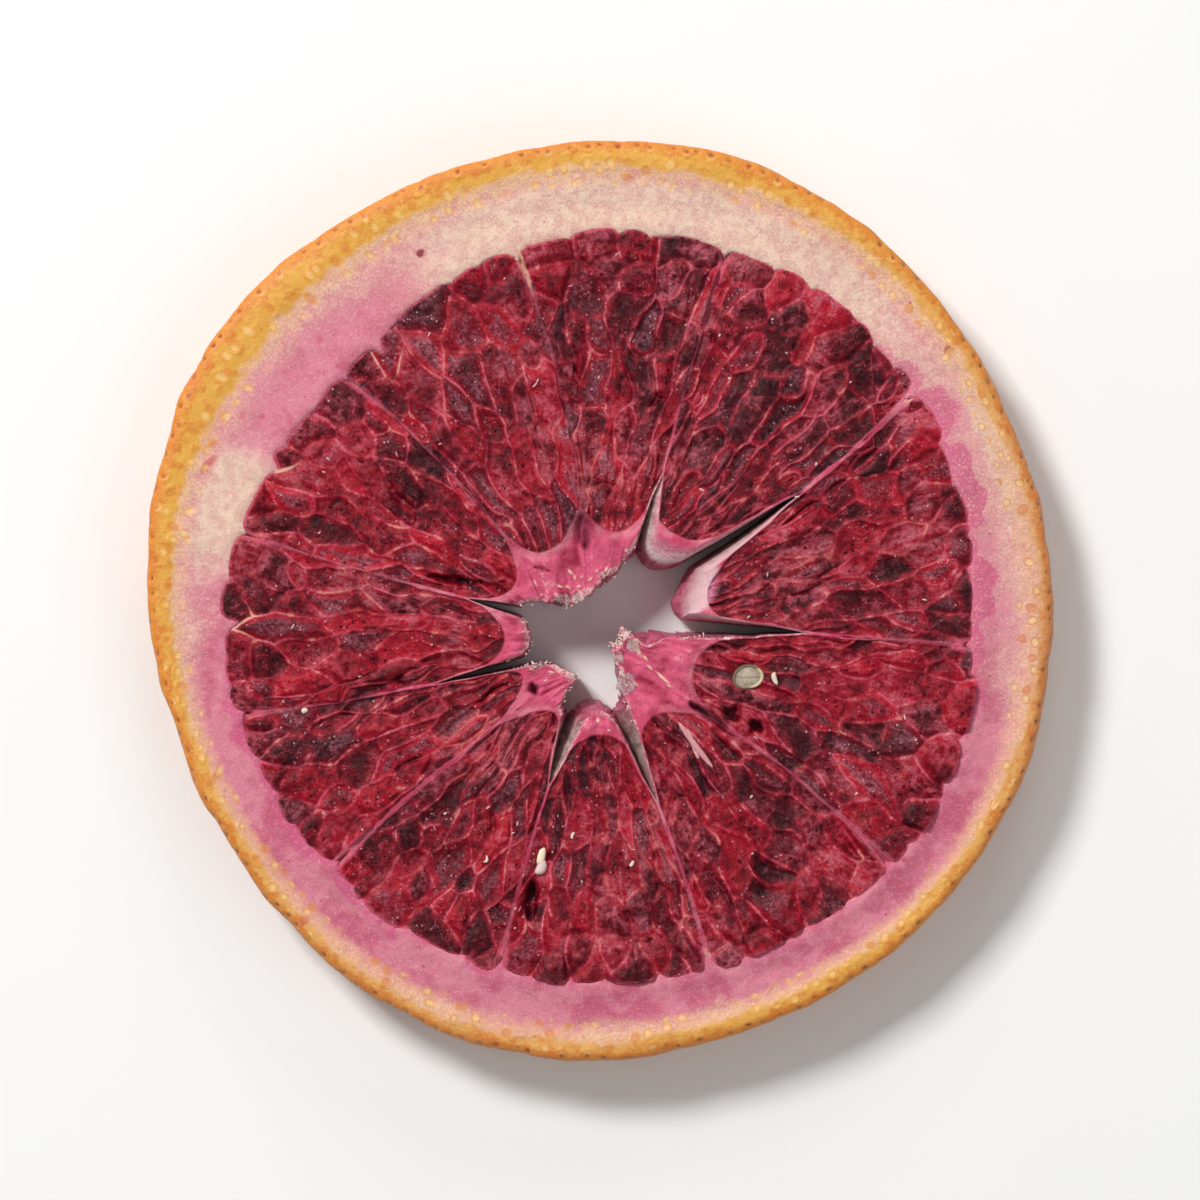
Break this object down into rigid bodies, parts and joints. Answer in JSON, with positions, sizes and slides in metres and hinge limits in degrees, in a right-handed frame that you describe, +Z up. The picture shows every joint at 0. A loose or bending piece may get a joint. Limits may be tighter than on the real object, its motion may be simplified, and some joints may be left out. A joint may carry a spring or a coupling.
{
  "type": "freeze-dried blood orange slice",
  "caption": "Round freeze-dried blood orange slice: golden rind, pale pink pith, wedge segments of dark red juice sacs, and an open core with clefts.",
  "frame": {"origin": "centre of the bounding box at the underside that the slice lies on", "axes": "+Z up through the thickness of the slice, +X to the right and +Y away as seen from above"},
  "size_m": [0.0636, 0.0646, 0.0058],
  "materials": {
    "pulp": "dried juice sacs, crimson to near black, with thin pink walls and a fine dry sparkle",
    "peel": "yellow-orange outer peel with oil-gland pits, softly shiny",
    "albedo": "matt, fine-grained inner peel, cream to pink",
    "pith": "matt torn pith and segment skins, magenta pink with whitish edges",
    "seed": "cut seed, pale greenish grey with a cream shell"
  },
  "bodies": {
    "root": {"citrus_slice": "pulp"}
  },
  "joints": []
}
